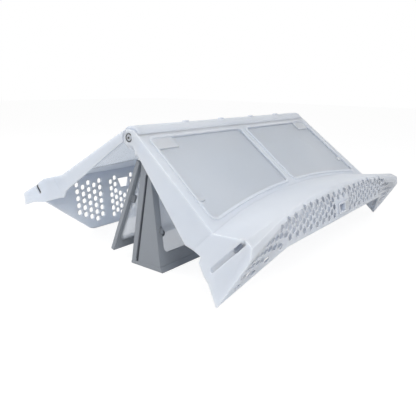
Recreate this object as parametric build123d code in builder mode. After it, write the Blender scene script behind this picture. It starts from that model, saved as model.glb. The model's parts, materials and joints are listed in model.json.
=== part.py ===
import os
from math import acos, atan2, ceil, cos, degrees, hypot, radians, sin, tan

from build123d import *

# Every leaf is drawn closed: x along the hinge, y from the parting line to the front, z away
# from the hinge axis. It is then turned about its own axis into the open tent that stands on
# the front wing tips and the rear flap. Millimetres and degrees.

# Outline of both outer leaves, seen from the front
HINGE_HALF = 129.4
JOIN_HALF = 135.0
JOIN_Z = 95.8
TIP_HALF = 147.4
TIP_Z = 136.2
LOW_Z = -14.0
HIGH_Z = 142.0
WALL = 2.0
DEEP = 80.0
WIDE = 170.0

# Parting line of the side walls, and the gap left on each side of it
PART_Y = -0.64
PART_SLOPE = -0.072
PART_GAP = 0.25
PART_END_Z = 89.2

# Panels
PANEL = 2.0
PANEL_INSET = 0.6
PANEL_LAP = 1.2
PANEL_CUT = 5.0
REAR_PANEL_TOP = 2.0
FRONT_FOOT = 7.44
FRONT_TILT = 7.1
REAR_FOOT = 7.18
REAR_TILT = 8.75
MULLION = 5.6
WINDOW_TOP = 9.5
WINDOW_SIDE_TOP = 119.8
WINDOW_SIDE_LOW = 124.2
WINDOW_RISE = 5.2
WINDOW_ROUND = 4.0
RIM_WIDE = 2.2
RIM_HIGH = 0.9
GAUZE = 0.6
SEAT = 1.6
TAB_X = 109.5
TAB_V = 13.6
TAB_WIDE = 23.0
TAB_TALL = 13.0
NUB_X = 120.5
NUB_V = 69.5
NUB_WIDE = 7.0
NUB_TALL = 4.0
SEAT_GAP = 0.05

# Head of the front leaf: the shelf leaves the panel along an arch and turns into the band
ARCH = 14.6
FRONT_JOIN_MID = 81.2
SHELF_OUT = 29.3
SHELF_UP = 23.2
EDGE_ROUND = 4.0
KNEE_Y = 44.4
KNEE_Z = 118.2
LIP_HALF = 96.0
LIP_Y = 34.0
LIP_Z = 128.8
TIP_Y = -2.2
SKIN = 2.0

# The front head's section past the wing tip, where each wing is trimmed
WING_END = 152.0
WING_OUT = 32.3
WING_UP = 25.2
WING_ROUND = 7.0
WING_KNEE_Y = 26.0
WING_KNEE_Z = 131.0
WALL_SECTION = 139.0

# Head of the rear leaf: a skin with an arched rim, and a flat flap that closes the mouth
REAR_JOIN_MID = 70.4
REAR_FLARE_Y = -9.2
REAR_FLARE_Z = 20.0
RIM_MID_Z = 112.0
RIM_Y = -29.4
RIM_ARCH = 15.6
FLAP_Y = 17.1
FLAP_Z = 133.8
FLAP_TILT = 32.4
FLAP_LONG = 52.6
FLAP_SIDE_X = 140.0
FLAP_SIDE_V = -34.7
FLAP_LOW_X = 137.0
FLAP_ROUND = 9.0

# Groove in the end face of each front wing
SLOT_Y = 23.3
SLOT_Z = 115.3
SLOT_LONG = 36.6
SLOT_WIDE = 3.4
SLOT_DEPTH = 1.2
SLOT_REACH = 20.0
SLOT_DEEP_Y = 33.5
SLOT_DEEP_LONG = 9.0

# Groove in the end face of each rear wing
REAR_SLOT_Y = -26.5
REAR_SLOT_Z = 115.0
REAR_SLOT_LONG = 12.0
REAR_SLOT_WIDE = 2.8

# Hexagonal holes
HOLE_R = 2.75
HOLE_CUT = 4.0
COLUMN = 5.4
PITCH = 6.5
BAND_FIRST = 4.2
BAND_TOP = 2.0
WING_TOP = 10.5
WING_MARGIN = 6.5
PAD_WIDE = 18.0
PAD_TALL = 9.0
PAD_RISE = 7.6
PAD_HIGH = 1.0
PAD_SINK = 3.4
PAD_SINK_SIDE = 2.0
PAD_SINK_WIDE = 11.0
PAD_SINK_TALL = 6.6
FLAP_HOLE_R = 2.8
FLAP_FIRST = 8.6
FLAP_LAST = 45.0
FLAP_INNER = 69.0
FLAP_OUTER = 81.0
OUTER_COLUMN = 6.5
OUTER_COUNT = 5
PATCH_HALF = 29.4
FLAP_MARGIN = 11.0
OPENING_X = 51.0
OPENING_V = -38.5
OPENING_WIDE = 15.0
OPENING_TALL = 9.0
OPENING_SLANT = 70.0

# Outer hinge
EAR_R = 6.0
EAR_GAP = 0.8
EAR_CUT = 10.0
EYE_R = 2.56
EYE_SINK_R = 3.5
EYE_SINK = 0.8
EYE_CUT = 6.0
PIN_R = 2.5
PIN_ROOT = 0.9
PIN_SHORT = 0.1
BARREL_R = 8.5
BARREL_WALL = 1.6
BARREL_CLEAR = 8.9
BARREL_SIDE_GAP = 0.05
BARREL_FROM = -56.0
BARREL_TO = 70.0
BARREL_HALF = 126.9
BARREL_END = 2.9
RIDGE_NUB_X = (-66.0, -17.0, 32.0, 81.0)
RIDGE_NUB_LONG = 5.0
RIDGE_NUB_WIDE = 3.0
RIDGE_NUB_HIGH = 1.0

# Inner filter, drawn about its own hinge: y to the front, z away from the hinge
PIVOT_Y = -1.9
PIVOT_Z = 14.3
SADDLE_R = 4.2
SADDLE_BORE = 2.06
SADDLE_IN = 124.9
SADDLE_OUT = 127.9
SADDLE_ARM_Y = 3.2
SADDLE_ARM_WIDE = 4.2
SADDLE_ARM_DEEP = 8.0
SADDLE_ARM_TALL = 5.0
SADDLE_MOUTH = 3.4
SADDLE_MOUTH_DEEP = 6.0
INNER_PIN = 2.0
INNER_PIN_END = 127.6
INNER_HALF = 124.4
INNER_DRAFT = 0.06
BOX_BACK_LONG = 85.2
BOX_FRONT_LONG = 80.4
BOX_TOP_DEEP = 6.2
BOX_MOUTH_DEEP = 30.3
BOX_EAR_R = 3.0
BOX_TOP_Z = -2.4
BOX_CREST = (3.4, -3.0)
WEB_LOW = (7.2, 4.0)
FRAME_SHORT = 1.0
BOX_SLOT_Y = 5.6
BOX_SLOT_Z = 48.5
BOX_SLOT_LONG = 68.0
BOX_SLOT_WIDE = 1.5
BOX_SLOT_TURN = 91.5
STUD_X = 122.6
STUD_V = 56.0
STUD_R = 2.4
STUD_HIGH = 1.3
ROD_R = 2.6
ROD_SHORT = 1.0
KNUCKLE_R = 4.6
KNUCKLE_BORE = 2.66
KNUCKLE_HALF = 6.0
KNUCKLE_X = (-104.0, 0.0, 104.0)
KNUCKLE_GAP = 0.6
KNUCKLE_SIDE_GAP = 0.5
KNUCKLE_ARM_Z = 4.5
KNUCKLE_MOUTH = 4.2
KNUCKLE_MOUTH_TURN = 35.0
DOOR_FROM = 7.0
DOOR_TO = 86.0
DOOR_NEAR = -0.4
DOOR_THICK = 3.4
HOOK_IN = 2.0
HOOK_OUT = 1.2
HOOK_Z = 38.0
HOOK_WIDE = 2.2
HOOK_DEEP = 3.0
HOOK_TALL = 6.0
INNER_WINDOW_TOP_X = 115.0
INNER_WINDOW_LOW_X = 118.5
BOX_WINDOW_TOP = 10.0
BOX_WINDOW_LOW = 68.0
DOOR_WINDOW_TOP = 14.0
DOOR_WINDOW_LOW = 76.0

# Open angles, measured from straight down
FRONT_OPEN = 45.45
BOX_OPEN = -6.3
DOOR_OPEN = -20.3

# How far the ridge stands from the middle of the open tent
RIDGE_Y = -1.8235


def turned(y, z, angle):
    """Return how far forward and how far down a drawn point lands when a leaf hangs at an angle."""
    forward = y * cos(radians(angle)) + z * sin(radians(angle))
    down = z * cos(radians(angle)) - y * sin(radians(angle))
    return forward, down


# The rear leaf opens until its flap reaches down as far as the front tips
ridge_z = turned(TIP_Y, TIP_Z, FRONT_OPEN)[1]
flap_reach = hypot(FLAP_Y, FLAP_Z)
REAR_OPEN = -degrees(atan2(FLAP_Y, FLAP_Z)) - degrees(acos(ridge_z / flap_reach))
ridge_y = RIDGE_Y
pivot_forward, pivot_down = turned(PIVOT_Y, PIVOT_Z, FRONT_OPEN)

front_pose = Location((0, ridge_y, ridge_z), (180 - FRONT_OPEN, 0, 0))
rear_pose = Location((0, ridge_y, ridge_z), (180 - REAR_OPEN, 0, 0))
pivot = (0, ridge_y - pivot_forward, ridge_z - pivot_down)
box_pose = Location(pivot, (180 - BOX_OPEN, 0, 0))
door_pose = Location(pivot, (180 - DOOR_OPEN, 0, 0))
ALONG_X = Location((0, 0, 0), (0, 90, 0))


def half_width(z):
    """Return half the width of an outer leaf at a distance from the hinge."""
    if z <= JOIN_Z:
        return HINGE_HALF + (JOIN_HALF - HINGE_HALF) * z / JOIN_Z
    return JOIN_HALF + (TIP_HALF - JOIN_HALF) * (z - JOIN_Z) / (TIP_Z - JOIN_Z)


def part_line(z):
    """Return the parting line's y at a distance from the hinge."""
    return PART_Y + PART_SLOPE * z


def closed_face(points, mode=Mode.ADD):
    """Draw a closed polygon in the current sketch."""
    with BuildLine(mode=Mode.PRIVATE) as border:
        Polyline(*points, close=True)
    make_face(border.edges(), mode=mode)


def leaf_outline(inset, mode):
    """Draw an outer leaf's outline, moved in on both sides by an inset."""
    right = [(half_width(z) - inset, z) for z in (LOW_Z, JOIN_Z, HIGH_Z)]
    left = [(-x, z) for x, z in reversed(right)]
    closed_face(right + left, mode)


def inner_outline(inset, mode):
    """Draw the inner filter's outline, moved in on both sides by an inset."""
    right = [(INNER_HALF + INNER_DRAFT * z - inset, z) for z in (LOW_Z, HIGH_Z)]
    left = [(-x, z) for x, z in reversed(right)]
    closed_face(right + left, mode)


def arch(x):
    """Return how far the arch has dropped away from its middle at x."""
    return ARCH * (x / JOIN_HALF) ** 2


def window_face(top, side_top, side_low, low_mid, rise, corner):
    """Return the right-hand window of a panel, with a straight or an arched lower edge."""
    middle_x = (MULLION + side_low) / 2
    low_points = [(x, low_mid + rise * (x / JOIN_HALF) ** 2) for x in (side_low, middle_x, MULLION)]
    with BuildSketch(Plane.XY, mode=Mode.PRIVATE) as hole:
        with BuildLine():
            Polyline(low_points[2], (MULLION, top), (side_top, top), low_points[0])
            if rise:
                ThreePointArc(*low_points)
            else:
                Line(low_points[0], low_points[2])
        make_face()
        if corner:
            fillet(hole.vertices(), radius=corner)
    return hole.sketch


def blend(a, b, share):
    """Return the value or the point that lies a share of the way from a to b."""
    if isinstance(a, tuple):
        return tuple(blend(p, q, share) for p, q in zip(a, b))
    return a + share * (b - a)


def bend(points, size):
    """Return where a rounded corner at the second point begins, its middle and where it ends."""
    start, corner, after = [Vector(*point) for point in points[:3]]
    before = (corner - start).normalized()
    beyond = (after - corner).normalized()
    half_turn = radians(before.get_angle(beyond)) / 2
    reach = size * tan(half_turn)
    first = corner - before * reach
    second = corner + beyond * reach
    middle = corner + ((first + second) * 0.5 - corner) * (1 / (1 + cos(half_turn)))
    return first, middle, second


def bent_line(points, size):
    """Draw a straight run, a corner eased by two facets, and a line or one curve to the last point."""
    first, middle, second = bend(points, size)
    Polyline(points[0], first, middle, second)
    if len(points) > 3:
        Bezier(second, *points[2:])
    else:
        Line(second, points[2])


def strip_face(points, size, inside):
    """Draw a bent strip's section, rounded at its corner and SKIN thick to the given side."""
    normals = []
    for before, after in zip(points, points[1:]):
        run = (after[0] - before[0], after[1] - before[1])
        length = hypot(*run) * inside
        normals.append((-run[1] / length, run[0] / length))
    inner = []
    for point, (a, b), (c, d) in zip(points, normals[:1] + normals, normals + normals[-1:]):
        spread = SKIN / (1 + a * c + b * d)
        inner.append((point[0] + spread * (a + c), point[1] + spread * (b + d)))
    with BuildLine(mode=Mode.PRIVATE) as border:
        bent_line(points, size)
        Line(points[-1], inner[-1])
        bent_line(inner, size - SKIN)
        Line(inner[0], points[0])
    make_face(border.edges())


def front_points(x):
    """Return the front head's join, edge, knee and lip at x, as (y, z) points."""
    share = max(abs(x) - LIP_HALF, 0) / (WING_END - LIP_HALF)
    past = max(abs(x) - LIP_HALF, 0) / (TIP_HALF - LIP_HALF)
    join_z = FRONT_JOIN_MID + arch(x)
    join_y = FRONT_FOOT + tan(radians(FRONT_TILT)) * join_z
    edge_y = join_y + blend(SHELF_OUT, WING_OUT, share)
    edge_z = join_z + blend(SHELF_UP, WING_UP, share)
    knee = blend((KNEE_Y, KNEE_Z), (WING_KNEE_Y, WING_KNEE_Z), share)
    lip = blend((LIP_Y, LIP_Z), (TIP_Y, TIP_Z), past)
    return (join_y, join_z), (edge_y, edge_z), knee, lip


def front_round(x):
    """Return the rounding of the front head's edge at x."""
    share = max(abs(x) - LIP_HALF, 0) / (WING_END - LIP_HALF)
    return blend(EDGE_ROUND, WING_ROUND, share)


def rear_points(x):
    """Return the rear head's join, flare and rim at x, as (y, z) points."""
    join_z = REAR_JOIN_MID + arch(x)
    join_y = -REAR_FOOT - tan(radians(REAR_TILT)) * join_z
    rim = (RIM_Y, RIM_MID_Z + RIM_ARCH * (x / JOIN_HALF) ** 2)
    return (join_y, join_z), (join_y + REAR_FLARE_Y, join_z + REAR_FLARE_Z), rim


def section_curve(x):
    """Return the top, knee and lip of the band's curve in the section drawn at x."""
    points = front_points(x)
    top = bend(points, front_round(x))[2]
    return [(top.X, top.Y), points[2], points[3]]


def band_curve(x):
    """Return the band's top, knee and lip at x, straight from section to section in a wing."""
    if abs(x) > LIP_HALF:
        share = (abs(x) - LIP_HALF) / (WING_END - LIP_HALF)
        ends = zip(section_curve(LIP_HALF), section_curve(WING_END))
        return [blend(near, far, share) for near, far in ends]
    return section_curve(x)


def band_length(x):
    """Return the length of the band's curve at x."""
    top, knee, lip = band_curve(x)
    chord = hypot(top[0] - lip[0], top[1] - lip[1])
    bent = hypot(top[0] - knee[0], top[1] - knee[1]) + hypot(knee[0] - lip[0], knee[1] - lip[1])
    return (2 * chord + bent) / 3


def band_point(x, rise):
    """Return the point of the band at x, a distance up from its free lip."""
    top, knee, lip = band_curve(x)
    share = rise / band_length(x)
    return Vector(x, *blend(blend(lip, knee, share), blend(knee, top, share), share))


def band_plane(x, rise):
    """Return the band's tangent plane there, x along the leaf and y up the band."""
    along = band_point(x + 1, rise) - band_point(x - 1, rise)
    up = band_point(x, rise + 1) - band_point(x, rise - 1)
    return Plane(origin=band_point(x, rise), x_dir=along, z_dir=along.cross(up))


def column_rises(column, first, last):
    """Return the hole positions in one column, every other column shifted half a pitch."""
    start = first + (0 if column % 2 else PITCH / 2)
    count = max(ceil((last - start) / PITCH), 0)
    return [start + PITCH * step for step in range(count)]


def save(node, builder, pose):
    """Place a finished piece in the shared frame and write its file."""
    placed = pose * builder.part
    placed.label = node
    export_step(placed, f"parts/{node}.step")


# Planes of the panels: x along the leaf, y away from the hinge, z to the inside
front_lean = radians(FRONT_TILT)
front_plane = Plane((0, FRONT_FOOT, 0), (1, 0, 0), (0, -cos(front_lean), sin(front_lean)))
rear_lean = radians(REAR_TILT)
rear_plane = Plane((0, -REAR_FOOT, 0), (-1, 0, 0), (0, cos(rear_lean), sin(rear_lean)))
flap_lean = radians(FLAP_TILT)
flap_plane = Plane((0, FLAP_Y, FLAP_Z), (1, 0, 0), (0, -sin(flap_lean), cos(flap_lean)))
box_lean = atan2(BOX_MOUTH_DEEP - BOX_TOP_DEEP, BOX_FRONT_LONG)
box_plane = Plane((0, BOX_TOP_DEEP, 0), (1, 0, 0), (0, -cos(box_lean), sin(box_lean)))
door_plane = Plane((0, DOOR_NEAR - DOOR_THICK, 0), (-1, 0, 0), (0, 1, 0))

windows = {
    "front": (WINDOW_TOP, WINDOW_SIDE_TOP, WINDOW_SIDE_LOW, FRONT_JOIN_MID - WINDOW_RISE, ARCH),
    "rear": (WINDOW_TOP, WINDOW_SIDE_TOP, WINDOW_SIDE_LOW, REAR_JOIN_MID - WINDOW_RISE, ARCH),
    "box": (BOX_WINDOW_TOP, INNER_WINDOW_TOP_X, INNER_WINDOW_LOW_X, BOX_WINDOW_LOW, 0),
    "door": (DOOR_WINDOW_TOP, INNER_WINDOW_TOP_X, INNER_WINDOW_LOW_X, DOOR_WINDOW_LOW, 0),
}
panel_half = JOIN_HALF - PANEL_INSET
openings = {leaf: window_face(*shape, WINDOW_ROUND) for leaf, shape in windows.items()}
seats = {leaf: window_face(*shape, 0) for leaf, shape in windows.items()}

# Front leaf of the outer filter
front_wall = [
    front_points(WALL_SECTION)[0],
    (FRONT_FOOT, 0.0),
    (5.0, -3.3),
    (-5.2, 2.6),
    (part_line(7.0) + PART_GAP, 7.0),
    (part_line(PART_END_Z) + PART_GAP, PART_END_Z),
    (1.7, 103.0),
    (-2.3, 105.1),
    (-2.5, 114.4),
    (-1.1, 120.7),
    (TIP_Y, TIP_Z),
]
front_holes = []
column_count = int(TIP_HALF / COLUMN)
for column in range(-column_count, column_count + 1):
    column_x = column * COLUMN
    in_wing = max(abs(column_x) - LIP_HALF, 0) / (TIP_HALF - LIP_HALF)
    band_top = band_length(column_x) - blend(BAND_TOP, WING_TOP, in_wing)
    for rise in column_rises(column, BAND_FIRST, band_top):
        centre = band_point(column_x, rise)
        on_pad = abs(column_x) < PAD_WIDE / 2 + HOLE_R and rise < PAD_RISE + PAD_TALL / 2 + HOLE_R
        if abs(column_x) < half_width(centre.Z) - WING_MARGIN and not on_pad:
            front_holes.append(band_plane(column_x, rise))

with BuildPart() as outer_front:
    with BuildSketch(Plane.XZ):
        leaf_outline(0, Mode.ADD)
        leaf_outline(WALL, Mode.SUBTRACT)
    extrude(amount=DEEP, both=True)
    with BuildSketch(Plane.YZ):
        with BuildLine():
            Polyline(*front_wall)
            bent_line([*front_points(WALL_SECTION)[:3], front_wall[-1]], front_round(WALL_SECTION))
        make_face()
        Circle(EAR_R)
    extrude(amount=WIDE, both=True, mode=Mode.INTERSECT)

    # Panel with its arched lower edge
    with BuildSketch(front_plane):
        panel_low = PANEL_LAP + (FRONT_JOIN_MID + ARCH) / cos(front_lean)
        with BuildLine():
            Polyline(
                (-panel_half, panel_low), (-HINGE_HALF + PANEL_INSET, 0),
                (HINGE_HALF - PANEL_INSET, 0), (panel_half, panel_low),
            )
            ThreePointArc((panel_half, panel_low), (0, panel_low - ARCH), (-panel_half, panel_low))
        make_face()
    extrude(amount=PANEL)

    # Shelf and band, from one wing to the other
    for x in [LIP_HALF * step / 2 for step in range(-2, 3)]:
        with BuildSketch(Plane.YZ.offset(x)):
            strip_face(front_points(x), front_round(x), 1)
    loft()
    for side in (-1, 1):
        for x in (side * LIP_HALF, side * WING_END):
            with BuildSketch(Plane.YZ.offset(x)):
                strip_face(front_points(x), front_round(x), 1)
        loft(ruled=True)
    with BuildSketch(Plane.XZ):
        leaf_outline(0, Mode.ADD)
    extrude(amount=DEEP, both=True, mode=Mode.INTERSECT)

    # Room for the ridge barrel
    with Locations(ALONG_X):
        Cylinder(BARREL_CLEAR, 2 * (HINGE_HALF - WALL - BARREL_SIDE_GAP), mode=Mode.SUBTRACT)

    # Windows with raised rims and a seat for the gauze
    with BuildSketch(front_plane):
        add(openings["front"])
        offset(amount=RIM_WIDE)
        mirror(about=Plane.YZ)
    extrude(amount=-RIM_HIGH)
    with BuildSketch(front_plane):
        add(openings["front"])
        mirror(about=Plane.YZ)
    extrude(amount=PANEL_CUT, both=True, mode=Mode.SUBTRACT)
    with BuildSketch(front_plane.offset(PANEL - GAUZE)):
        add(seats["front"])
        offset(amount=SEAT, kind=Kind.INTERSECTION)
        mirror(about=Plane.YZ)
    extrude(amount=GAUZE, mode=Mode.SUBTRACT)

    # Corner tabs and side nubs that reach over the gauze
    with BuildSketch(front_plane):
        for side in (-1, 1):
            with Locations((side * TAB_X, TAB_V)):
                Rectangle(TAB_WIDE, TAB_TALL)
            with Locations((side * NUB_X, NUB_V)):
                Rectangle(NUB_WIDE, NUB_TALL)
    extrude(amount=PANEL - GAUZE)

    # Latch pad in the middle of the band, with a pocket
    with BuildSketch(band_plane(0, PAD_RISE)):
        Rectangle(PAD_WIDE, PAD_TALL)
    extrude(amount=PAD_HIGH)
    with BuildSketch(band_plane(0, PAD_RISE)):
        with Locations((-PAD_SINK_SIDE, 0)):
            Rectangle(PAD_SINK_WIDE + SKIN, PAD_SINK_TALL + SKIN)
    extrude(amount=-PAD_SINK - 1)
    with BuildSketch(band_plane(0, PAD_RISE).offset(PAD_HIGH)):
        with Locations((-PAD_SINK_SIDE, 0)):
            Rectangle(PAD_SINK_WIDE, PAD_SINK_TALL)
    extrude(amount=-PAD_HIGH - PAD_SINK, mode=Mode.SUBTRACT)

    # Groove in each wing's end face, open at its outer end
    for side in (-1, 1):
        face_x = half_width(SLOT_Z)
        with BuildSketch(Plane.YZ.offset(side * WING_END)):
            with Locations((SLOT_Y, SLOT_Z)):
                SlotOverall(SLOT_LONG, SLOT_WIDE)
        extrude(amount=-side * (WING_END - face_x + SLOT_DEPTH), mode=Mode.SUBTRACT)
        with BuildSketch(Plane.YZ.offset(side * WING_END)):
            with Locations((SLOT_DEEP_Y, SLOT_Z)):
                SlotOverall(SLOT_DEEP_LONG, SLOT_WIDE)
        extrude(amount=-side * SLOT_REACH, mode=Mode.SUBTRACT)

    # Hinge eyes, and the saddles that hold the inner filter's pins
    with Locations(ALONG_X):
        Cylinder(EYE_R, 2 * WIDE, mode=Mode.SUBTRACT)
    for side in (-1, 1):
        with Locations(Location((side * (HINGE_HALF - EYE_SINK + EYE_CUT / 2), 0, 0), (0, 90, 0))):
            Cylinder(EYE_SINK_R, EYE_CUT, mode=Mode.SUBTRACT)
        saddle_x = side * (SADDLE_IN + SADDLE_OUT) / 2
        with Locations(Location((saddle_x, PIVOT_Y, PIVOT_Z), (0, 90, 0))):
            Cylinder(SADDLE_R, SADDLE_OUT - SADDLE_IN)
        with Locations((side * (SADDLE_IN + SADDLE_ARM_WIDE / 2), SADDLE_ARM_Y, PIVOT_Z)):
            Box(SADDLE_ARM_WIDE, SADDLE_ARM_DEEP, SADDLE_ARM_TALL)
        with Locations(Location((saddle_x, PIVOT_Y, PIVOT_Z), (0, 90, 0))):
            Cylinder(SADDLE_BORE, SADDLE_OUT - SADDLE_IN, mode=Mode.SUBTRACT)
        with Locations((saddle_x, PIVOT_Y - SADDLE_MOUTH_DEEP / 2, PIVOT_Z)):
            Box(SADDLE_OUT - SADDLE_IN, SADDLE_MOUTH_DEEP, SADDLE_MOUTH, mode=Mode.SUBTRACT)

    # Holes of the band
    with BuildSketch(*front_holes):
        RegularPolygon(HOLE_R, 6, rotation=30)
    extrude(amount=HOLE_CUT, both=True, clean=False, mode=Mode.SUBTRACT)

# Rear leaf of the outer filter
rear_wall = [
    (-1.2, 6.0),
    (part_line(7.0) - PART_GAP, 7.0),
    (part_line(86.0) - PART_GAP, 86.0),
    (-7.1, 90.0),
    (-4.4, 95.5),
    (-6.8, 100.5),
    (-12.2, 115.3),
    (-18.8, 125.8),
    (-21.4, 134.5),
    (-30.9, 130.5),
    (-29.4, 113.6),
    rear_points(JOIN_HALF)[1],
    rear_points(JOIN_HALF)[0],
    (-REAR_FOOT, 0.0),
]
flap_columns = []
for side in (-1, 1):
    inner_count = int((FLAP_INNER - PATCH_HALF) / COLUMN) + 1
    flap_columns += [(side * (PATCH_HALF + COLUMN * step), step) for step in range(inner_count)]
    flap_columns += [(side * (FLAP_OUTER + OUTER_COLUMN * step), step) for step in range(OUTER_COUNT)]
flap_holes = []
for column_x, number in flap_columns:
    for rise in column_rises(number, FLAP_FIRST, FLAP_LAST):
        slant = LIP_HALF + rise * (FLAP_SIDE_X - LIP_HALF) / -FLAP_SIDE_V
        beside = abs(abs(column_x) - OPENING_X) > OPENING_WIDE / 2 + FLAP_HOLE_R
        below = rise < -OPENING_V - OPENING_TALL / 2 - FLAP_HOLE_R
        if abs(column_x) < slant - FLAP_MARGIN and (beside or below):
            flap_holes.append((column_x, -rise))

with BuildPart() as outer_rear:
    with BuildSketch(Plane.XZ):
        leaf_outline(0, Mode.ADD)
        leaf_outline(WALL, Mode.SUBTRACT)
    extrude(amount=DEEP, both=True)
    with BuildSketch(Plane.YZ):
        closed_face(rear_wall)
    extrude(amount=WIDE, both=True, mode=Mode.INTERSECT)

    # Panel with its arched lower edge
    with BuildSketch(rear_plane):
        panel_low = PANEL_LAP + (REAR_JOIN_MID + ARCH) / cos(rear_lean)
        with BuildLine():
            Polyline(
                (-panel_half, panel_low), (-HINGE_HALF + PANEL_INSET, REAR_PANEL_TOP),
                (HINGE_HALF - PANEL_INSET, REAR_PANEL_TOP), (panel_half, panel_low),
            )
            ThreePointArc((panel_half, panel_low), (0, panel_low - ARCH), (-panel_half, panel_low))
        make_face()
    extrude(amount=PANEL)

    # Skin of the head
    for x in [WING_END * step / 2 for step in range(-2, 3)]:
        with BuildSketch(Plane.YZ.offset(x)):
            strip_face(rear_points(x), EDGE_ROUND, -1)
    loft()
    with BuildSketch(Plane.XZ):
        leaf_outline(0, Mode.ADD)
    extrude(amount=DEEP, both=True, mode=Mode.INTERSECT)

    # Windows
    with BuildSketch(rear_plane):
        add(openings["rear"])
        mirror(about=Plane.YZ)
    extrude(amount=PANEL_CUT, both=True, mode=Mode.SUBTRACT)
    with BuildSketch(rear_plane.offset(PANEL - GAUZE)):
        add(seats["rear"])
        offset(amount=SEAT, kind=Kind.INTERSECTION)
        mirror(about=Plane.YZ)
    extrude(amount=GAUZE, mode=Mode.SUBTRACT)

    # Groove in each wing's end face
    for side in (-1, 1):
        with BuildSketch(Plane.YZ.offset(side * WING_END)):
            with Locations((REAR_SLOT_Y, REAR_SLOT_Z)):
                SlotOverall(REAR_SLOT_LONG, REAR_SLOT_WIDE)
        extrude(amount=-side * (WING_END - half_width(REAR_SLOT_Z) + SLOT_DEPTH), mode=Mode.SUBTRACT)

    # Room for the front leaf's ears, then the ridge barrel, its ends and the hinge pins
    for side in (-1, 1):
        with Locations(Location((side * (BARREL_HALF + EAR_CUT / 2), 0, 0), (0, 90, 0))):
            Cylinder(EAR_R + EAR_GAP, EAR_CUT, mode=Mode.SUBTRACT)
    reach = 4 * BARREL_R
    with BuildSketch(Plane.YZ):
        Circle(BARREL_R)
        Circle(BARREL_R - BARREL_WALL, mode=Mode.SUBTRACT)
        closed_face(
            [
                (0, 0),
                (reach * sin(radians(BARREL_FROM)), reach * cos(radians(BARREL_FROM))),
                (0, reach),
                (reach * sin(radians(BARREL_TO)), reach * cos(radians(BARREL_TO))),
            ],
            Mode.SUBTRACT,
        )
    extrude(amount=BARREL_HALF, both=True)
    for side in (-1, 1):
        with Locations(Location((side * (BARREL_HALF - BARREL_END / 2), 0, 0), (0, 90, 0))):
            Cylinder(BARREL_R, BARREL_END)
        pin_from = BARREL_HALF - PIN_ROOT
        pin_to = HINGE_HALF - PIN_SHORT
        with Locations(Location((side * (pin_from + pin_to) / 2, 0, 0), (0, 90, 0))):
            Cylinder(PIN_R, pin_to - pin_from)

    # Small nubs along the ridge
    for x in RIDGE_NUB_X:
        with Locations(Location((x, 0, 0), (REAR_OPEN, 0, 0))):
            with Locations((0, 0, -BARREL_R)):
                Box(RIDGE_NUB_LONG, RIDGE_NUB_WIDE, 2 * RIDGE_NUB_HIGH)

    # Flat flap with its holes, and one larger opening on each side of its middle
    with BuildSketch(flap_plane):
        with BuildSketch(mode=Mode.PRIVATE) as flap_outline:
            closed_face([
                (-LIP_HALF, 0), (LIP_HALF, 0), (FLAP_SIDE_X, FLAP_SIDE_V), (FLAP_LOW_X, -FLAP_LONG),
                (-FLAP_LOW_X, -FLAP_LONG), (-FLAP_SIDE_X, FLAP_SIDE_V),
            ])
            fillet(flap_outline.vertices().group_by(Axis.Y)[-1], radius=FLAP_ROUND)
        add(flap_outline.sketch)
        with Locations(*flap_holes):
            RegularPolygon(FLAP_HOLE_R, 6, rotation=30, mode=Mode.SUBTRACT)
        with Locations((-OPENING_X, OPENING_V), (OPENING_X, OPENING_V)):
            Trapezoid(OPENING_WIDE, OPENING_TALL, OPENING_SLANT, mode=Mode.SUBTRACT)
    extrude(amount=-SKIN, clean=False)

# Inner box
box_end = [
    (0.0, BOX_TOP_Z),
    (0.0, BOX_BACK_LONG),
    (BOX_MOUTH_DEEP, BOX_FRONT_LONG),
    (BOX_TOP_DEEP, 0.0),
    BOX_CREST,
]
with BuildPart() as inner_box:
    with BuildSketch(Plane.XZ):
        inner_outline(0, Mode.ADD)
        inner_outline(WALL, Mode.SUBTRACT)
    extrude(amount=DEEP, both=True)
    with BuildSketch(Plane.YZ):
        closed_face(box_end)
        Circle(BOX_EAR_R)
    extrude(amount=WIDE, both=True, mode=Mode.INTERSECT)

    # Front frame with two windows, the lip below them and the web to the hinge rod
    frame_long = BOX_FRONT_LONG / cos(box_lean) - FRAME_SHORT
    frame_top = INNER_HALF - PANEL_INSET
    frame_low = frame_top + INNER_DRAFT * BOX_FRONT_LONG
    with BuildSketch(box_plane):
        closed_face([(-frame_top, 0), (frame_top, 0), (frame_low, frame_long), (-frame_low, frame_long)])
        add(openings["box"], mode=Mode.SUBTRACT)
        add(openings["box"].mirror(Plane.YZ), mode=Mode.SUBTRACT)
    extrude(amount=PANEL)
    with BuildSketch(box_plane.offset(PANEL - GAUZE)):
        add(seats["box"])
        offset(amount=SEAT, kind=Kind.INTERSECTION)
        mirror(about=Plane.YZ)
    extrude(amount=GAUZE, mode=Mode.SUBTRACT)
    with BuildSketch(Plane.YZ):
        closed_face([(0, BOX_TOP_Z), BOX_CREST, (BOX_TOP_DEEP, 0), WEB_LOW, (0, -BOX_TOP_Z)])
    extrude(amount=INNER_HALF - ROD_SHORT, both=True)
    with Locations(*[Location((x, 0, 0), (0, 90, 0)) for x in KNUCKLE_X]):
        Cylinder(KNUCKLE_R + KNUCKLE_GAP, 2 * (KNUCKLE_HALF + KNUCKLE_SIDE_GAP), mode=Mode.SUBTRACT)
    with Locations(ALONG_X):
        Cylinder(ROD_R, 2 * (INNER_HALF - ROD_SHORT))
        Cylinder(INNER_PIN, 2 * INNER_PIN_END)

    # Long slot beside the back edge of each end wall, and a stud on each side of the frame
    with BuildSketch(Plane.YZ):
        with Locations((BOX_SLOT_Y, BOX_SLOT_Z)):
            SlotOverall(BOX_SLOT_LONG, BOX_SLOT_WIDE, rotation=BOX_SLOT_TURN)
    extrude(amount=WIDE, both=True, mode=Mode.SUBTRACT)
    with BuildSketch(box_plane):
        with Locations((-STUD_X, STUD_V), (STUD_X, STUD_V)):
            Circle(STUD_R)
    extrude(amount=-STUD_HIGH)

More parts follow.
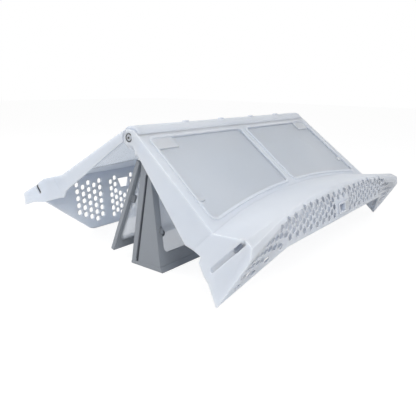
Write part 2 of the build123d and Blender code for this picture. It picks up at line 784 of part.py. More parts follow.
# Inner door
with BuildPart() as inner_door:
    door_top = INNER_HALF + INNER_DRAFT * DOOR_FROM
    door_low = INNER_HALF + INNER_DRAFT * DOOR_TO
    with BuildSketch(door_plane):
        closed_face([(-door_top, DOOR_FROM), (door_top, DOOR_FROM), (door_low, DOOR_TO), (-door_low, DOOR_TO)])
        add(openings["door"], mode=Mode.SUBTRACT)
        add(openings["door"].mirror(Plane.YZ), mode=Mode.SUBTRACT)
    extrude(amount=DOOR_THICK)
    with BuildSketch(door_plane.offset(DOOR_THICK - GAUZE)):
        add(seats["door"])
        offset(amount=SEAT, kind=Kind.INTERSECTION)
        mirror(about=Plane.YZ)
    extrude(amount=GAUZE, mode=Mode.SUBTRACT)

    # Clip-on knuckles around the box's hinge rod
    for x in KNUCKLE_X:
        with Locations(Location((x, 0, 0), (0, 90, 0))):
            Cylinder(KNUCKLE_R, 2 * KNUCKLE_HALF)
        with Locations((x, DOOR_NEAR - DOOR_THICK / 2, KNUCKLE_ARM_Z)):
            Box(2 * KNUCKLE_HALF, DOOR_THICK, DOOR_FROM)
        with Locations(Location((x, 0, 0), (0, 90, 0))):
            Cylinder(KNUCKLE_BORE, 2 * KNUCKLE_HALF, mode=Mode.SUBTRACT)
        with Locations(Location((x, 0, 0), (KNUCKLE_MOUTH_TURN, 0, 0))):
            with Locations((0, 0, -KNUCKLE_R)):
                Box(2 * KNUCKLE_HALF, KNUCKLE_MOUTH, 2 * KNUCKLE_R, mode=Mode.SUBTRACT)

    # Hooks that clip inside the box's end walls
    for side in (-1, 1):
        with Locations((side * (INNER_HALF - HOOK_IN), DOOR_NEAR + HOOK_OUT, HOOK_Z)):
            Box(HOOK_WIDE, HOOK_DEEP, HOOK_TALL)


def gauze(plane, seat, side):
    """Return the gauze sheet of one window, lying in its seat."""
    with BuildPart() as sheet:
        with BuildSketch(plane):
            add(seat if side > 0 else seat.mirror(Plane.YZ))
            offset(amount=SEAT - SEAT_GAP, kind=Kind.INTERSECTION)
        extrude(amount=GAUZE)
    return sheet


os.makedirs("parts", exist_ok=True)
save("outer_front_frame", outer_front, front_pose)
save("outer_rear_frame", outer_rear, rear_pose)
save("inner_box_frame", inner_box, box_pose)
save("inner_door_frame", inner_door, door_pose)
sheets = (
    ("outer_front_gauze", front_plane.offset(PANEL - GAUZE), seats["front"], front_pose, 1),
    ("outer_rear_gauze", rear_plane.offset(PANEL - GAUZE), seats["rear"], rear_pose, -1),
    ("inner_box_gauze", box_plane.offset(PANEL - GAUZE), seats["box"], box_pose, 1),
    ("inner_door_gauze", door_plane.offset(DOOR_THICK - GAUZE), seats["door"], door_pose, -1),
)
for node, plane, seat, pose, right_side in sheets:
    save(f"{node}_left", gauze(plane, seat, -right_side), pose)
    save(f"{node}_right", gauze(plane, seat, right_side), pose)
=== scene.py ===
import json
import math

import bmesh
import bpy
from mathutils import Matrix, Vector


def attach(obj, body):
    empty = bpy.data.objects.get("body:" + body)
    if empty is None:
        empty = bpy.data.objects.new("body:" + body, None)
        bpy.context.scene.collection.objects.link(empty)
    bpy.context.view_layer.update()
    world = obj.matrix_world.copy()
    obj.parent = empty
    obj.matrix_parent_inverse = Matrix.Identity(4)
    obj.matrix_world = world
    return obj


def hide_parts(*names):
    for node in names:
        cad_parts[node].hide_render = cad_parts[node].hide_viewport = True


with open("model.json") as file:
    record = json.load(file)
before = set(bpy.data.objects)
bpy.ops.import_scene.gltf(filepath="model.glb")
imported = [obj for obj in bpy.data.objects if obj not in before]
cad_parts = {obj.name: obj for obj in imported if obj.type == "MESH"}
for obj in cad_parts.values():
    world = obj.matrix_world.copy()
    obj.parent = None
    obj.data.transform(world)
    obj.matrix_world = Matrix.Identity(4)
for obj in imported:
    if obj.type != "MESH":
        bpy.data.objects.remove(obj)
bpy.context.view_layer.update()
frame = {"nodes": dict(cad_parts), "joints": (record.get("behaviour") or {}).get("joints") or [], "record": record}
nodes = frame["nodes"]

# Camera, as the photograph was taken: metres and degrees, lens and sensor in millimetres
CAMERA_AT = (-0.35374, -0.2493735, 0.135286)
CAMERA_YAW = 37.74
CAMERA_PITCH = -15.30
CAMERA_ROLL = 0.93
CAMERA_LENS = 39.04
CAMERA_SENSOR = 36.0
CAMERA_NEAR = 0.01

# Plastics: colours, roughness, strength of the fine skin, and share of light that goes in
WHITE = (0.70, 0.755, 0.87, 1.0)
WHITE_SHADE = (0.65, 0.71, 0.83, 1.0)
WHITE_ROUGH = 0.42
WHITE_GRAIN = 0.12
WHITE_MILKY = 1.0
GREY = (0.285, 0.31, 0.345, 1.0)
GREY_SHADE = (0.25, 0.27, 0.30, 1.0)
GREY_ROUGH = 0.46
GREY_GRAIN = 0.18
GREY_MILKY = 0.0
# The dark plastic colours the nubs and dots, and is also painted shade in slots and round the hinge pins
DARK = (0.05, 0.057, 0.072, 1.0)
DARK_SHADE = (0.042, 0.048, 0.06, 1.0)
DARK_ROUGH = 0.5
DRIFT_SCALE = 14.0
DRIFT_DETAIL = 3.0
DRIFT_SPAN = (0.3, 0.62)
SHEEN_SCALE = 60.0
SHEEN_DETAIL = 4.0
SHEEN_LESS = 0.06
SHEEN_MORE = 0.08
SKIN_SCALE = 1600.0
SKIN_DETAIL = 2.0
SKIN_HEIGHT = 0.0002
EDGE_EASE = 0.0009
EDGE_SAMPLES = 6
PLASTIC_IOR = 1.49
MILKY_DEPTH = 0.006
MILKY_RADIUS = (1.0, 1.0, 1.0)

# Gauze: colours, how clear its meshes are, thread pitch in metres, and how its threads take the light
GAUZE = (0.86, 0.89, 0.93, 1.0)
GAUZE_DARK = (0.81, 0.85, 0.90, 1.0)
WHITE_CLEAR = 0.42
GREY_CLEAR = 0.5
THREAD_PITCH = 0.00055
THREAD_EDGE = (0.45, 0.65)
THREAD_BUMP = 0.25
THREAD_HEIGHT = 0.0001
CLOUD_SCALE = 9.0
CLOUD_DETAIL = 2.0
CLOUD_SPAN = (0.35, 0.65)
GAUZE_ROUGH = 0.6
GAUZE_THROUGH = 0.45

# Floor, world and lamps: metres and watts
PURE_WHITE = (1.0, 1.0, 1.0, 1.0)
FLOOR_HALF = 3.0
FLOOR_DROP = 0.0005
FLOOR_COLOUR = (0.9, 0.9, 0.9, 1.0)
FLOOR_ROUGH = 0.9
FLOOR_WHITE = 0.8
FLOOR_GLOW = 1.12
WORLD_LIGHT = 0.40
WORLD_SEEN = 1.0
KEY_LAMP = {"at": (-0.32, -0.5, 0.64), "size": 0.5, "power": 3.3, "target": (-0.05, 0.0, 0.06)}
SIDE_LAMP = {"at": (-0.42, 0.55, 0.5), "size": 0.35, "power": 2.75, "target": (-0.13, 0.08, 0.05)}

# Meshes: a millimetre and the weld distance in metres, a sharp edge in degrees, the shortest normal kept
MM = 0.001
WELD = 1e-6
SHARP_ANGLE = 35.0
CAD_NORMAL = "cad_normal"
LEAST_NORMAL = 0.5
ROUND_STEPS = 8
CORNER_STEPS = 5
SIDES = {"left": -1, "right": 1}

# Degrees by which each leaf stands open from the CAD's closed drawing
FRONT_OPEN = 45.45
REAR_OPEN = -51.23
BOX_OPEN = -6.3
DOOR_OPEN = -20.3

# Sizes in the closed drawing: millimetres, y to the front, z away from the hinge
# Inner box and door: a window is its top, its half widths at the top and the foot, and its foot
BOX_TOP_DEEP = 6.2
BOX_LEAN = 16.69
BOX_WINDOW = (10.0, 119.3, 122.7, 73.5)
BOX_SEAT_FROM = 1.4
BOX_THICK = 2.0
BOX_GAUZE_DEPTH = 1.7
DOOR_BACK = -3.8
DOOR_WINDOW = (14.0, 120.0, 123.4, 77.0)
DOOR_SEAT_FROM = 2.8
DOOR_THICK = 3.4
DOOR_GAUZE_DEPTH = 3.1
SEAT = 1.6
SEAT_PAST = 1.0
SHEET_PLAY = 0.05
CUT = 5.0
MULLION = 5.6
CORNER = 5.0
WALL = 2.0
INNER_HALF = 124.4
INNER_DRAFT = 0.06
BOX_SLOT = (6.2, 48.8)
BOX_SLOT_LONG = 70.0
BOX_SLOT_WIDE = 2.3
BOX_SLOT_TURN = 90.8
# Depth at which the dark strip painted as shade in each end wall's slot begins
SHADE_STRIP_SUNK = 0.9
NUB_AT = (122.4, 58.3)
NUB_LONG = 7.2
NUB_WIDE = 5.0
NUB_FROM = 0.4
NUB_TO = 1.4
RIM_BACK = (0.0, 85.2)
RIM_FRONT = (30.3, 80.4)
RIM_OVER = 1.2
RIM_PROUD = 0.3
RIM_BACK_DROP = 0.9
RIM_FRONT_DROP = 2.1
RIM_FLARE = 1.8

# Front band: its curve in sections across the leaf, as the CAD has it
JOIN_HALF = 135.0
LIP_HALF = 96.0
TIP_HALF = 147.4
WING_END = 152.0
FRONT_FOOT = 7.44
FRONT_TILT = 7.1
JOIN_MID = 81.2
ARCH = 14.6
SHELF = Vector((29.3, 23.2))
WING_SHELF = Vector((32.3, 25.2))
KNEE = Vector((44.4, 118.2))
WING_KNEE = Vector((26.0, 131.0))
LIP = Vector((34.0, 128.8))
TIP = Vector((-2.2, 136.2))
EDGE_ROUND = 4.0
WING_ROUND = 7.0

# Behind the band: depths, places across the leaf, and shares of the way down the curve
THIN_SKIN = 0.8
THIN_BACK = 3.2
THIN_UP = 0.0
THIN_STATIONS = (12.5, 30.0, 48.0, 66.0, 84.0, 96.0, 116.0, 136.0)
THIN_SHARES = (0.07, 0.2, 0.35, 0.5, 0.65, 0.8, 0.93)
BACK_WALL_FROM = 4.2
BACK_WALL_THICK = 1.0
BACK_WALL_UP = 3.0
BACK_WALL_STATIONS = (0.0, 30.0, 48.0, 66.0, 84.0, 96.0, 115.0, 134.0)
BACK_WALL_SHARES = (0.0, 0.25, 0.5, 0.75, 1.0)

# Wings and hinge
POCKET_AT = (33.5, 115.3)
POCKET_LONG = 9.0
POCKET_WIDE = 3.4
POCKET_SKIN = 0.8
POCKET_FROM = 139.2
POCKET_TO = 133.0
REAR_SLIT = (-25.2, 115.0)
REAR_SLIT_LONG = 8.4
REAR_SLIT_WIDE = 2.8
REAR_SLIT_FLOOR = 139.69
# Thickness of the dark strip painted as shade on the floor of each rear wing's slit
REAR_SHADE_STRIP = 0.25
HINGE_FACE = 128.95
# Open dark ring round each hinge pin, painted shade of the recess there: radius, thickness, gap in degrees, steps
# and sides
SHADE_RING_R = 2.8
SHADE_RING_THICK = 0.45
SHADE_RING_GAP = 70.0
SHADE_RING_STEPS = 48
SHADE_RING_SIDES = 8
DOT_R = 0.8
DOT_FROM = 127.0
DOT_TO = 129.7
DOT_SIDES = 12


def set_inputs(tree, node, values):
    """Give a node's inputs their numbers and colours, or the results of other nodes."""
    for key, value in values.items():
        if isinstance(value, bpy.types.NodeSocket):
            tree.links.new(value, node.inputs[key])
        else:
            node.inputs[key].default_value = value


def add_node(tree, kind, values):
    """Return a new node with these inputs."""
    node = tree.nodes.new(kind)
    set_inputs(tree, node, values)
    return node


def reckon(tree, operation, *values):
    """Return the result of an operation on one or two values."""
    node = add_node(tree, "ShaderNodeMath", dict(enumerate(values)))
    node.operation = operation
    return node.outputs[0]


def noise(tree, coords, scale, detail):
    """Return the value of a noise."""
    values = {"Vector": coords, "Scale": scale, "Detail": detail}
    return add_node(tree, "ShaderNodeTexNoise", values).outputs["Fac"]


def two_tone(tree, value, span, dark, light):
    """Return a colour that goes from dark to light as a value crosses a span."""
    ramp = add_node(tree, "ShaderNodeValToRGB", {"Fac": value})
    for element, position, colour in zip(ramp.color_ramp.elements, span, (dark, light)):
        element.position = position
        element.color = colour
    return ramp.outputs["Color"]


def mixed(tree, share, first, second):
    """Return two shaders mixed by the second one's share."""
    return add_node(tree, "ShaderNodeMixShader", {"Fac": share, 1: first, 2: second}).outputs["Shader"]


def new_material(name):
    """Return a node material with its tree and its shader."""
    material = bpy.data.materials.new(name)
    material.use_nodes = True
    tree = material.node_tree
    return material, tree, tree.nodes["Principled BSDF"]


def plastic(name, colour, shade, rough, grain, milky):
    """Return a moulded plastic: slow colour drift, uneven sheen, a fine skin and a milky depth."""
    material, tree, shader = new_material(name)
    coords = add_node(tree, "ShaderNodeTexCoord", {}).outputs["Object"]
    drift = noise(tree, coords, DRIFT_SCALE, DRIFT_DETAIL)
    sheen = noise(tree, coords, SHEEN_SCALE, SHEEN_DETAIL)
    skin = noise(tree, coords, SKIN_SCALE, SKIN_DETAIL)
    sheen_span = {"Value": sheen, "To Min": rough - SHEEN_LESS, "To Max": rough + SHEEN_MORE}
    spread = add_node(tree, "ShaderNodeMapRange", sheen_span)
    eased = add_node(tree, "ShaderNodeBevel", {"Radius": EDGE_EASE})
    eased.samples = EDGE_SAMPLES
    relief = {"Strength": grain, "Distance": SKIN_HEIGHT, "Height": skin, "Normal": eased.outputs["Normal"]}
    bump = add_node(tree, "ShaderNodeBump", relief)
    set_inputs(tree, shader, {
        "Base Color": two_tone(tree, drift, DRIFT_SPAN, shade, colour),
        "Roughness": spread.outputs["Result"],
        "Normal": bump.outputs["Normal"],
        "IOR": PLASTIC_IOR,
        "Subsurface Weight": milky,
        "Subsurface Radius": MILKY_RADIUS,
        "Subsurface Scale": MILKY_DEPTH,
    })
    return material


def weave(name, clear, axes):
    """Return a fine woven gauze: threads crossing along two axes, with see-through meshes between them."""
    material, tree, shader = new_material(name)
    coords = add_node(tree, "ShaderNodeTexCoord", {}).outputs["Object"]
    split = add_node(tree, "ShaderNodeSeparateXYZ", {"Vector": coords})
    waves = []
    for axis in axes:
        turn = reckon(tree, "MULTIPLY", split.outputs[axis], math.pi / THREAD_PITCH)
        waves.append(reckon(tree, "ABSOLUTE", reckon(tree, "SINE", turn)))
    mesh = reckon(tree, "MINIMUM", *waves)
    edge = {"Value": mesh, "From Min": THREAD_EDGE[0], "From Max": THREAD_EDGE[1], "To Max": clear}
    hole = add_node(tree, "ShaderNodeMapRange", edge)
    cloud = noise(tree, coords, CLOUD_SCALE, CLOUD_DETAIL)
    colour = two_tone(tree, cloud, CLOUD_SPAN, GAUZE_DARK, GAUZE)
    relief = {"Strength": THREAD_BUMP, "Distance": THREAD_HEIGHT, "Height": mesh}
    bump = add_node(tree, "ShaderNodeBump", relief)
    bump.invert = True
    surface = {"Base Color": colour, "Normal": bump.outputs["Normal"], "Roughness": GAUZE_ROUGH}
    set_inputs(tree, shader, surface)
    through = add_node(tree, "ShaderNodeBsdfTranslucent", {"Color": colour})
    cloth = mixed(tree, GAUZE_THROUGH, shader.outputs["BSDF"], through.outputs["BSDF"])
    nothing = add_node(tree, "ShaderNodeBsdfTransparent", {})
    meshed = mixed(tree, hole.outputs["Result"], cloth, nothing.outputs["BSDF"])
    set_inputs(tree, tree.nodes["Material Output"], {"Surface": meshed})
    return material


finishes = {
    "white_plastic": plastic("white_plastic", WHITE, WHITE_SHADE, WHITE_ROUGH, WHITE_GRAIN, WHITE_MILKY),
    "grey_plastic": plastic("grey_plastic", GREY, GREY_SHADE, GREY_ROUGH, GREY_GRAIN, GREY_MILKY),
    # The dark plastic also stands as painted shade in slots and round the hinge pins
    "dark_plastic_and_painted_shade": plastic("dark_plastic_and_painted_shade", DARK, DARK_SHADE, DARK_ROUGH, GREY_GRAIN, GREY_MILKY),
    "white_gauze": weave("white_gauze", WHITE_CLEAR, "XY"),
    "grey_gauze": weave("grey_gauze", GREY_CLEAR, "XZ"),
}
for entry in frame["record"]["subparts"]:
    piece = nodes[entry["node"]]
    piece.data.materials.clear()
    piece.data.materials.append(finishes[entry["material_slot"]])

joint_at = {joint["name"]: Vector(joint["pos_m"]) for joint in frame["joints"]}


def drawn_about(joint, open_angle):
    """Return the matrix that takes a leaf's own drawing, in millimetres, to the shared frame."""
    turn = Matrix.Rotation(math.radians(180 - open_angle), 4, "X")
    return Matrix.Translation(joint_at[joint]) @ turn @ Matrix.Scale(MM, 4)


front_drawn = drawn_about("outer_hinge", FRONT_OPEN)
rear_drawn = drawn_about("outer_hinge", REAR_OPEN)
box_drawn = drawn_about("inner_box_pivot", BOX_OPEN)
door_drawn = drawn_about("inner_door_pivot", DOOR_OPEN)


def arc(centre, radius, first, last, steps):
    """Return points on an arc, in degrees, ends included."""
    angles = [math.radians(first + (last - first) * step / steps) for step in range(steps + 1)]
    return [(centre[0] + radius * math.cos(a), centre[1] + radius * math.sin(a)) for a in angles]


def ring(radius, sides):
    """Return the corners of a regular polygon round the origin."""
    return arc((0, 0), radius, 0, 360 * (sides - 1) / sides, sides - 1)


def stadium(centre, long, wide):
    """Return a slot's outline around its middle, lying along the first axis."""
    reach = (long - wide) / 2
    ends = [(centre[0] + reach, centre[1]), (centre[0] - reach, centre[1])]
    return arc(ends[0], wide / 2, -90, 90, ROUND_STEPS) + arc(ends[1], wide / 2, 90, 270, ROUND_STEPS)


def turned(outline, centre, angle):
    """Return an outline turned about the origin, in degrees, and moved to a centre."""
    cosine = math.cos(math.radians(angle))
    sine = math.sin(math.radians(angle))
    return [(centre[0] + u * cosine - v * sine, centre[1] + u * sine + v * cosine) for u, v in outline]


def window_outline(window, grow, side):
    """Return a window's outline with rounded corners, grown on every edge, on one side of the mullion."""
    top, side_top, side_low, low = window
    corners = [
        (MULLION - grow, top - grow),
        (side_top + grow, top - grow),
        (side_low + grow, low + grow),
        (MULLION - grow, low + grow),
    ]
    outline = []
    for corner, start in zip(corners, (180, 270, 0, 90)):
        toward = (math.cos(math.radians(start + 45)), math.sin(math.radians(start + 45)))
        centre = [value - CORNER * math.sqrt(2) * step for value, step in zip(corner, toward)]
        outline += arc(centre, CORNER, start, start + 90, CORNER_STEPS)
    return [(side * x, v) for x, v in outline]


def link_object(name, data):
    """Return a new object in the scene."""
    thing = bpy.data.objects.new(name, data)
    bpy.context.scene.collection.objects.link(thing)
    return thing


def add_object(name, points, faces, matrix):
    """Return a new mesh object made of drawn points."""
    mesh = bpy.data.meshes.new(name)
    mesh.from_pydata([matrix @ Vector(point) for point in points], [], faces)
    shape = bmesh.new()
    shape.from_mesh(mesh)
    bmesh.ops.recalc_face_normals(shape, faces=shape.faces)
    shape.to_mesh(mesh)
    shape.free()
    return link_object(name, mesh)


def loft(name, loops, matrix):
    """Return a closed mesh through loops of drawn points, with as many points in each."""
    count = len(loops[0])
    last = count * (len(loops) - 1)
    faces = [tuple(range(count)), tuple(range(last, last + count))]
    for low in range(0, last, count):
        high = low + count
        for i in range(count):
            after = (i + 1) % count
            faces.append((low + i, low + after, high + after, high + i))
    return add_object(name, [point for loop in loops for point in loop], faces, matrix)


def prism(name, outline, place, near, far, matrix):
    """Return a closed prism between two depths; place turns (u, v, depth) into a drawn point."""
    loops = [[place(u, v, depth) for u, v in outline] for depth in (near, far)]
    return loft(name, loops, matrix)


def cut(piece, cutter):
    """Cut a closed mesh out of a piece and drop the cutter."""
    modifier = piece.modifiers.new("cut", "BOOLEAN")
    modifier.operation = "DIFFERENCE"
    modifier.solver = "EXACT"
    modifier.object = cutter
    whole = piece.evaluated_get(bpy.context.evaluated_depsgraph_get())
    piece.data = bpy.data.meshes.new_from_object(whole)
    piece.modifiers.clear()
    bpy.data.objects.remove(cutter)


def welded_copy(node, name):
    """Return a copy of a CAD node with its split corners joined and its normals noted, ready to be cut."""
    mesh = nodes[node].data.copy()
    mesh.name = name
    noted = mesh.attributes.new(CAD_NORMAL, "FLOAT_VECTOR", "CORNER")
    for entry, corner in zip(noted.data, mesh.corner_normals):
        entry.vector = corner.vector
    shape = bmesh.new()
    shape.from_mesh(mesh)
    bmesh.ops.remove_doubles(shape, verts=shape.verts, dist=WELD)
    shape.to_mesh(mesh)
    shape.free()
    return link_object(name, mesh)


def keep_normals(piece):
    """Give the uncut faces of a copy the normals that the CAD gave them."""
    noted = [Vector(entry.vector) for entry in piece.data.attributes[CAD_NORMAL].data]
    kept = [normal.normalized() if normal.length > LEAST_NORMAL else Vector() for normal in noted]
    piece.data.normals_split_custom_set(kept)
    piece.data.attributes.remove(piece.data.attributes[CAD_NORMAL])


def dress(piece, body, finish, material=None):
    """Set a piece on its body with one of the record's finishes, or a darker one in its place, which some pieces
    use as painted shade.
    """
    piece.data.materials.clear()
    piece.data.materials.append(finishes[material or finish])
    piece.data.shade_smooth()
    piece.data.set_sharp_from_angle(angle=math.radians(SHARP_ANGLE))
    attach(piece, body)


def on_box(u, v, depth):
    """Return the drawn point of the inner box's front frame: along it, down it and into it."""
    lean = math.radians(BOX_LEAN)
    forward = BOX_TOP_DEEP + v * math.sin(lean) - depth * math.cos(lean)
    return (u, forward, v * math.cos(lean) + depth * math.sin(lean))


def on_door(u, v, depth):
    """Return the drawn point of the inner door: along it, down it and into it."""
    return (u, DOOR_BACK + depth, v)


def on_end(side):
    """Return the placing of points on one end wall of the inner box: forward, down and into it."""
    return lambda u, v, depth: (side * (INNER_HALF + INNER_DRAFT * v - depth), u, v)


def across(u, v, x):
    """Return the drawn point of an outline that faces along the hinge."""
    return (x, u, v)


def rim_loop(side, corner, drop, flare):
    """Return the rim's section at one corner of the inner box's mouth, leant forward where it flares."""
    loop = []
    for down, inset in ((-RIM_OVER, -RIM_PROUD), (drop, -RIM_PROUD), (drop, WALL), (-RIM_OVER, WALL)):
        forward, level = corner[0], corner[1] + down
        if flare:
            forward += flare * max(down, 0) / drop + down * math.tan(math.radians(BOX_LEAN)) - inset
        loop.append((side * (INNER_HALF + INNER_DRAFT * level - inset), forward, level))
    return loop


def band_section(x):
    """Return the top, the knee and the lip of the band's curve in a section at x."""
    share = max(abs(x) - LIP_HALF, 0) / (WING_END - LIP_HALF)
    past = max(abs(x) - LIP_HALF, 0) / (TIP_HALF - LIP_HALF)
    join_z = JOIN_MID + ARCH * (x / JOIN_HALF) ** 2
    join = Vector((FRONT_FOOT + math.tan(math.radians(FRONT_TILT)) * join_z, join_z))
    run = SHELF.lerp(WING_SHELF, share)
    edge = join + run
    knee = KNEE.lerp(WING_KNEE, share)
    beyond = (knee - edge).normalized()
    reach = (EDGE_ROUND + share * (WING_ROUND - EDGE_ROUND)) * math.tan(run.angle(beyond) / 2)
    return edge + beyond * reach, knee, LIP + past * (TIP - LIP)


def band_curve(x):
    """Return the band's top, knee and lip at x, straight from section to section in a wing."""
    if abs(x) <= LIP_HALF:
        return band_section(x)
    share = (abs(x) - LIP_HALF) / (WING_END - LIP_HALF)
    ends = zip(band_section(LIP_HALF), band_section(WING_END))
    return [near + share * (far - near) for near, far in ends]


def behind_band(x, shares, near_depth, far_depth, up):
    """Return a loop of drawn points at x between two depths behind the band, its top end drawn up."""
    top, knee, lip = band_curve(x)
    near, far = [], []
    for share in shares:
        upper, lower = top.lerp(knee, share), knee.lerp(lip, share)
        along = (lower - upper).normalized()
        inward = Vector((-along.y, along.x))
        point = upper.lerp(lower, share)
        if share == shares[0]:
            point = point - along * up
        near.append((x, *(point + inward * near_depth)))
        far.append((x, *(point + inward * far_depth)))
    return near + far[::-1]


# Inner frames: the solids with their windows opened to slim side posts, and the gauze in them
slot_outline = turned(stadium((0, 0), BOX_SLOT_LONG, BOX_SLOT_WIDE), BOX_SLOT, BOX_SLOT_TURN)
inner_leaves = {
    "inner_box": (on_box, box_drawn, BOX_WINDOW, BOX_SEAT_FROM, BOX_THICK, BOX_GAUZE_DEPTH),
    "inner_door": (on_door, door_drawn, DOOR_WINDOW, DOOR_SEAT_FROM, DOOR_THICK, DOOR_GAUZE_DEPTH),
}
for body, (place, matrix, window, seat_from, thick, depth) in inner_leaves.items():
    leaf = welded_copy(body + "_frame", body + "_shell")
    for side in SIDES.values():
        opening = window_outline(window, 0, side)
        seat = window_outline(window, SEAT, side)
        cut(leaf, prism("cutter", opening, place, -CUT, CUT, matrix))
        cut(leaf, prism("cutter", seat, place, seat_from, thick + SEAT_PAST, matrix))
        if body == "inner_box":
            cut(leaf, prism("cutter", slot_outline, on_end(side), -CUT, CUT, matrix))
    dress(leaf, body, "grey_plastic")
    keep_normals(leaf)
    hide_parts(body + "_frame")
    for word, side in SIDES.items():
        border = window_outline(window, SEAT - SHEET_PLAY, side)
        face = tuple(range(len(border)))
        sheet = add_object(f"{body}_mesh_{word}", [place(u, v, depth) for u, v in border], [face], matrix)
        dress(sheet, body, "grey_gauze")
        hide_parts(f"{body}_gauze_{word}")

# Rim round the inner box's mouth, flared at the front
rim_back = (RIM_BACK, RIM_BACK_DROP, 0)
rim_front = (RIM_FRONT, RIM_FRONT_DROP, RIM_FLARE)
rim_corners = ((-1, rim_back), (-1, rim_front), (1, rim_front), (1, rim_back))
rim = loft("inner_box_rim", [rim_loop(side, *corner) for side, corner in rim_corners], box_drawn)
dress(rim, "inner_box", "grey_plastic")

# Front frame with its perforated band thinned from behind, so that the holes stay open when seen askew
front_shell = welded_copy("outer_front_frame", "outer_front_shell")
for side in SIDES.values():
    stations = [side * x for x in THIN_STATIONS]
    hollow = [behind_band(x, THIN_SHARES, THIN_SKIN, THIN_BACK, THIN_UP) for x in stations]
    cut(front_shell, loft("cutter", hollow, front_drawn))
dress(front_shell, "outer_front", "white_plastic")
keep_normals(front_shell)
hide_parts("outer_front_frame")

# Wall behind the band: a guess, so that its holes look grey and do not show the floor
wall_stations = [-x for x in BACK_WALL_STATIONS[:0:-1]] + list(BACK_WALL_STATIONS)
wall_depths = (BACK_WALL_FROM, BACK_WALL_FROM + BACK_WALL_THICK)
wall_loops = [behind_band(x, BACK_WALL_SHARES, *wall_depths, BACK_WALL_UP) for x in wall_stations]
back_wall = loft("front_channel_wall", wall_loops, front_drawn)
dress(back_wall, "outer_front", "white_plastic")

# Dark strips painted as shade in each end wall's slot and on the floor of each rear wing's slit, in place of their
# depth
for word, side in SIDES.items():
    shade_strip = prism(f"inner_box_painted_shade_strip_{word}", slot_outline, on_end(side), SHADE_STRIP_SUNK, WALL, box_drawn)
    dress(shade_strip, "inner_box", "grey_plastic", "dark_plastic_and_painted_shade")
    slit = stadium(REAR_SLIT, REAR_SLIT_LONG, REAR_SLIT_WIDE)
    shade_strip_base = side * REAR_SLIT_FLOOR
    shade_strip_face = side * (REAR_SLIT_FLOOR + REAR_SHADE_STRIP)
    shade_strip = prism(f"rear_wing_painted_shade_strip_{word}", slit, across, shade_strip_base, shade_strip_face, rear_drawn)
    dress(shade_strip, "outer_rear", "grey_plastic", "dark_plastic_and_painted_shade")

# Round-ended nubs on the inner box's side posts, reaching over the gauze
for word, side in SIDES.items():
    outline = stadium((side * NUB_AT[0], NUB_AT[1]), NUB_LONG, NUB_WIDE)
    nub = prism(f"inner_box_nub_{word}", outline, on_box, NUB_FROM, NUB_TO, box_drawn)
    dress(nub, "inner_box", "grey_plastic", "dark_plastic_and_painted_shade")

# Pocket behind the outer end of each front wing's groove; at each hinge pin an open dark ring, painted shade of
# the recess round the pin, and a dark dot
for word, side in SIDES.items():
    outer = stadium(POCKET_AT, POCKET_LONG + 2 * POCKET_SKIN, POCKET_WIDE + 2 * POCKET_SKIN)
    inner = stadium(POCKET_AT, POCKET_LONG, POCKET_WIDE)
    steps = [(outer, POCKET_TO), (outer, POCKET_FROM), (inner, POCKET_FROM), (inner, POCKET_TO + POCKET_SKIN)]
    loops = [[across(y, z, side * x) for y, z in outline] for outline, x in steps]
    pocket = loft(f"wing_pocket_{word}", loops, front_drawn)
    dress(pocket, "outer_front", "white_plastic")

    section = [(HINGE_FACE + along, 1 + out / SHADE_RING_R) for along, out in ring(SHADE_RING_THICK, SHADE_RING_SIDES)]
    path = arc((0, 0), SHADE_RING_R, SHADE_RING_GAP, 360, SHADE_RING_STEPS)
    loops = [[across(y * spread, z * spread, side * x) for x, spread in section] for y, z in path]
    shade_ring = loft(f"hinge_painted_shade_ring_{word}", loops, front_drawn)
    dress(shade_ring, "outer_front", "grey_plastic", "dark_plastic_and_painted_shade")

    disc = ring(DOT_R, DOT_SIDES)
    dot = prism(f"hinge_dot_{word}", disc, across, side * DOT_FROM, side * DOT_TO, front_drawn)
    dress(dot, "outer_front", "grey_plastic", "dark_plastic_and_painted_shade")

# Floor: pale, and white to the camera
floor_mesh = bpy.data.meshes.new("floor")
floor_corners = [(x * FLOOR_HALF, y * FLOOR_HALF, 0) for x, y in ((-1, -1), (1, -1), (1, 1), (-1, 1))]
floor_mesh.from_pydata(floor_corners, [], [(0, 1, 2, 3)])
floor = link_object("floor", floor_mesh)
floor.location.z = -FLOOR_DROP
floor_finish, floor_tree, floor_shader = new_material("floor")
floor_mesh.materials.append(floor_finish)
set_inputs(floor_tree, floor_shader, {"Base Color": FLOOR_COLOUR, "Roughness": FLOOR_ROUGH})
floor_rays = add_node(floor_tree, "ShaderNodeLightPath", {}).outputs
floor_seen = reckon(floor_tree, "MULTIPLY", floor_rays["Is Camera Ray"], FLOOR_WHITE)
floor_glow = add_node(floor_tree, "ShaderNodeEmission", {"Color": PURE_WHITE, "Strength": FLOOR_GLOW})
floor_mix = mixed(floor_tree, floor_seen, floor_shader.outputs["BSDF"], floor_glow.outputs["Emission"])
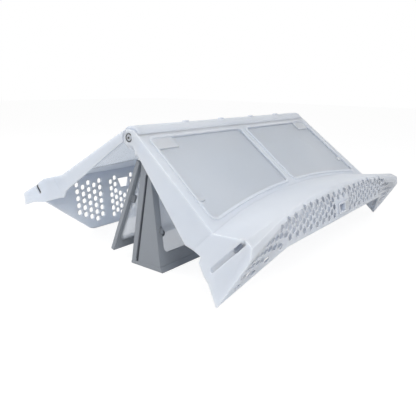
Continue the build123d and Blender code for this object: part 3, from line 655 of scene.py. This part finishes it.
set_inputs(floor_tree, floor_tree.nodes["Material Output"], {"Surface": floor_mix})

# Studio light: a soft world that is white where it is seen
world = bpy.data.worlds.new("studio")
bpy.context.scene.world = world
world.use_nodes = True
world_tree = world.node_tree
world_rays = add_node(world_tree, "ShaderNodeLightPath", {}).outputs
mirrored = reckon(world_tree, "MAXIMUM", world_rays["Is Glossy Ray"], world_rays["Is Transmission Ray"])
world_seen = reckon(world_tree, "MAXIMUM", world_rays["Is Camera Ray"], mirrored)
world_span = {"Value": world_seen, "To Min": WORLD_LIGHT, "To Max": WORLD_SEEN}
world_strength = add_node(world_tree, "ShaderNodeMapRange", world_span).outputs["Result"]
set_inputs(world_tree, world_tree.nodes["Background"], {"Color": PURE_WHITE, "Strength": world_strength})


def lamp(name, at, size, power, target):
    """Add a soft square lamp that looks at a point."""
    data = bpy.data.lights.new(name, "AREA")
    data.shape = "SQUARE"
    data.size = size
    data.energy = power
    lamp_object = link_object(name, data)
    lamp_object.location = at
    lamp_object.rotation_euler = (Vector(target) - Vector(at)).to_track_quat("-Z", "Y").to_euler()


lamp("key", **KEY_LAMP)
lamp("side", **SIDE_LAMP)

# Camera
yaw, pitch, roll = (math.radians(angle) for angle in (CAMERA_YAW, CAMERA_PITCH, CAMERA_ROLL))
ahead = Vector((math.cos(pitch) * math.cos(yaw), math.cos(pitch) * math.sin(yaw), math.sin(pitch)))
level = Vector((math.sin(yaw), -math.cos(yaw), 0.0))
upward = level.cross(ahead)
rightward = level * math.cos(roll) + upward * math.sin(roll)
above = upward * math.cos(roll) - level * math.sin(roll)
camera_data = bpy.data.cameras.new("camera")
camera_data.lens = CAMERA_LENS
camera_data.sensor_width = CAMERA_SENSOR
camera_data.sensor_fit = "HORIZONTAL"
camera_data.clip_start = CAMERA_NEAR
camera = link_object("camera", camera_data)
facing = Matrix((rightward, above, -ahead)).transposed().to_4x4()
camera.matrix_world = Matrix.Translation(CAMERA_AT) @ facing
bpy.context.scene.camera = camera
bpy.context.scene.view_settings.view_transform = "Standard"
